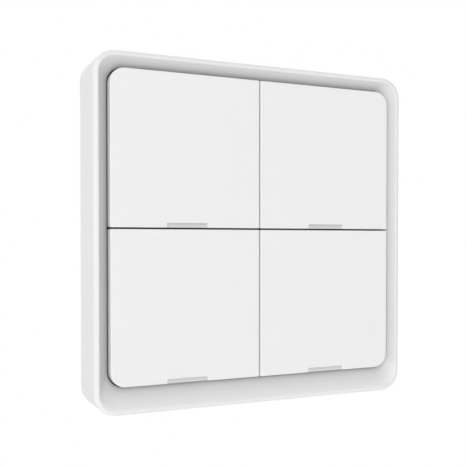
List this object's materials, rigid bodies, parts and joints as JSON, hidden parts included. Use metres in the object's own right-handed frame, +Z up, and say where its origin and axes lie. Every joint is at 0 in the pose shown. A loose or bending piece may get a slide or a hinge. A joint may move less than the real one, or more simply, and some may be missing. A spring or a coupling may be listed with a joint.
{
  "type": "smart button",
  "caption": "Square white wall-mounted wireless smart button panel: rocking keys with indicator windows in a bevelled frame over a battery-powered switch module and wall plate.",
  "frame": {"origin": "on the wall plane, midway between the two wall-screw slots and at the centre of the square plate", "axes": "+X right as seen from the front, +Y into the wall (the keys face -Y), +Z up the wall"},
  "size_m": [0.086, 0.014, 0.086],
  "materials": {
    "frame_plastic": "satin",
    "key_plastic": "satin",
    "light_guide": "translucent",
    "inner_plastic": "matte",
    "circuit_board": "solder mask",
    "switch_body": "matte",
    "switch_actuator": "matte",
    "led": "clear",
    "capacitor": "matte",
    "plated_steel": "plated",
    "contact_metal": "plated",
    "adhesive": "foam",
    "screw_steel": "zinc"
  },
  "bodies": {
    "case": {"front_frame": "frame_plastic", "key_carrier": "inner_plastic", "circuit_board": "circuit_board", "tact_body_upper_left": "switch_body", "tact_body_upper_right": "switch_body", "tact_body_lower_left": "switch_body", "tact_body_lower_right": "switch_body", "led_upper_left": "led", "led_upper_right": "led", "led_lower_left": "led", "led_lower_right": "led", "radio_board": "circuit_board", "radio_shield": "plated_steel", "storage_capacitors": "capacitor", "crystal": "plated_steel", "coin_cell": "plated_steel", "battery_clip_positive": "contact_metal", "battery_spring_negative": "contact_metal", "rear_cover": "inner_plastic", "wall_plate": "inner_plastic", "adhesive_pads": "adhesive", "case_screws": "screw_steel"},
    "key_upper_left": {"key_upper_left": "key_plastic", "light_guide_upper_left": "light_guide"},
    "actuator_upper_left": {"tact_actuator_upper_left": "switch_actuator"},
    "key_upper_right": {"key_upper_right": "key_plastic", "light_guide_upper_right": "light_guide"},
    "actuator_upper_right": {"tact_actuator_upper_right": "switch_actuator"},
    "key_lower_left": {"key_lower_left": "key_plastic", "light_guide_lower_left": "light_guide"},
    "actuator_lower_left": {"tact_actuator_lower_left": "switch_actuator"},
    "key_lower_right": {"key_lower_right": "key_plastic", "light_guide_lower_right": "light_guide"},
    "actuator_lower_right": {"tact_actuator_lower_right": "switch_actuator"},
    "battery_door": {"battery_door": "inner_plastic"}
  },
  "joints": [
    {"name": "key_upper_left_press", "type": "hinge", "parent": "case", "child": "key_upper_left", "pos_m": [-0.01957, -0.0107, 0.03605], "axis": [1, 0, 0], "range_deg": [0, 0.83], "stiffness_Nm_per_rad": 1.5, "springref_deg": -0.57},
    {"name": "actuator_upper_left_slide", "type": "slide", "parent": "case", "child": "actuator_upper_left", "axis": [0, 1, 0], "range_m": [0, 0.00035]},
    {"name": "key_upper_right_press", "type": "hinge", "parent": "case", "child": "key_upper_right", "pos_m": [0.01957, -0.0107, 0.03605], "axis": [1, 0, 0], "range_deg": [0, 0.83], "stiffness_Nm_per_rad": 1.5, "springref_deg": -0.57},
    {"name": "actuator_upper_right_slide", "type": "slide", "parent": "case", "child": "actuator_upper_right", "axis": [0, 1, 0], "range_m": [0, 0.00035]},
    {"name": "key_lower_left_press", "type": "hinge", "parent": "case", "child": "key_lower_left", "pos_m": [-0.01957, -0.0107, -0.00185], "axis": [1, 0, 0], "range_deg": [0, 0.83], "stiffness_Nm_per_rad": 1.5, "springref_deg": -0.57},
    {"name": "actuator_lower_left_slide", "type": "slide", "parent": "case", "child": "actuator_lower_left", "axis": [0, 1, 0], "range_m": [0, 0.00035]},
    {"name": "key_lower_right_press", "type": "hinge", "parent": "case", "child": "key_lower_right", "pos_m": [0.01957, -0.0107, -0.00185], "axis": [1, 0, 0], "range_deg": [0, 0.83], "stiffness_Nm_per_rad": 1.5, "springref_deg": -0.57},
    {"name": "actuator_lower_right_slide", "type": "slide", "parent": "case", "child": "actuator_lower_right", "axis": [0, 1, 0], "range_m": [0, 0.00035]},
    {"name": "battery_door_turn", "type": "hinge", "parent": "case", "child": "battery_door", "pos_m": [0, -0.0009, 0], "axis": [0, -1, 0], "range_deg": [0, 30]}
  ],
  "couplings": [
    {"joint": "actuator_upper_left_slide", "follows": "key_upper_left_press", "m_per_rad": 0.024},
    {"joint": "actuator_upper_right_slide", "follows": "key_upper_right_press", "m_per_rad": 0.024},
    {"joint": "actuator_lower_left_slide", "follows": "key_lower_left_press", "m_per_rad": 0.024},
    {"joint": "actuator_lower_right_slide", "follows": "key_lower_right_press", "m_per_rad": 0.024}
  ]
}
